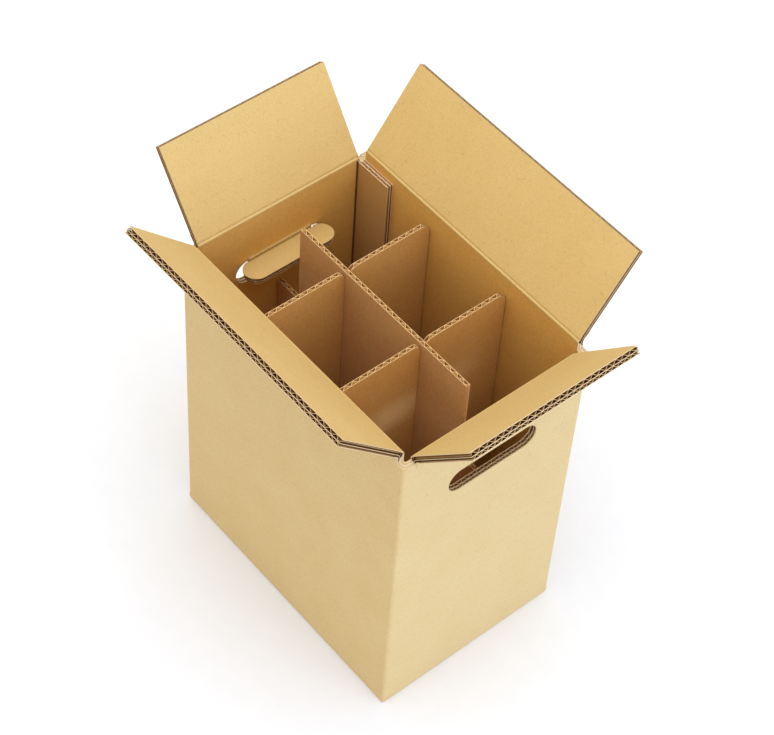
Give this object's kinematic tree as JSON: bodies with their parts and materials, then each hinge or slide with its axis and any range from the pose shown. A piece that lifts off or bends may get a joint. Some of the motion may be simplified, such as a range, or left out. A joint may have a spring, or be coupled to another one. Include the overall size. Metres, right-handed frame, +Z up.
{
  "type": "bottle shipping box",
  "caption": "Tall corrugated cardboard shipping box with slotted dividers for bottles, hinged top flaps and a hand hole in each end wall, standing open.",
  "frame": {"origin": "centre of the box's footprint, on the surface it stands on", "axes": "+Z up, towards the open top; X along the long walls, +X towards the near end wall; +Y towards the far long wall"},
  "size_m": [0.383, 0.2994, 0.4098],
  "materials": {
    "double_wall_board": "matt unbleached kraft liner, corrugated",
    "single_wall_board": "matt unbleached kraft liner, corrugated"
  },
  "bodies": {
    "box": {"carton": "double_wall_board", "long_divider": "single_wall_board", "near_cross_divider": "single_wall_board", "far_cross_divider": "single_wall_board"},
    "near_end_flap": {"near_end_flap": "double_wall_board"},
    "far_end_flap": {"far_end_flap": "double_wall_board"},
    "near_long_flap": {"near_long_flap": "double_wall_board"},
    "far_long_flap": {"far_long_flap": "double_wall_board"},
    "near_hand_tab": {"near_hand_tab": "double_wall_board"},
    "far_hand_tab": {"far_hand_tab": "double_wall_board"}
  },
  "joints": [
    {"name": "near_end_crease", "type": "hinge", "parent": "box", "child": "near_end_flap", "pos_m": [0.132, 0, 0.333], "axis": [0, 1, 0], "range_deg": [-132, 63]},
    {"name": "far_end_crease", "type": "hinge", "parent": "box", "child": "far_end_flap", "pos_m": [-0.132, 0, 0.333], "axis": [0, -1, 0], "range_deg": [-125, 70]},
    {"name": "near_long_crease", "type": "hinge", "parent": "box", "child": "near_long_flap", "pos_m": [0, -0.088, 0.3398], "axis": [1, 0, 0], "range_deg": [-134, 61]},
    {"name": "far_long_crease", "type": "hinge", "parent": "box", "child": "far_long_flap", "pos_m": [0, 0.088, 0.3398], "axis": [-1, 0, 0], "range_deg": [-127, 68]},
    {"name": "near_tab_crease", "type": "hinge", "parent": "box", "child": "near_hand_tab", "pos_m": [0.132, 0, 0.2835], "axis": [0, 1, 0], "range_deg": [-95, 75]},
    {"name": "far_tab_crease", "type": "hinge", "parent": "box", "child": "far_hand_tab", "pos_m": [-0.132, 0, 0.2835], "axis": [0, -1, 0], "range_deg": [-95, 75]}
  ]
}
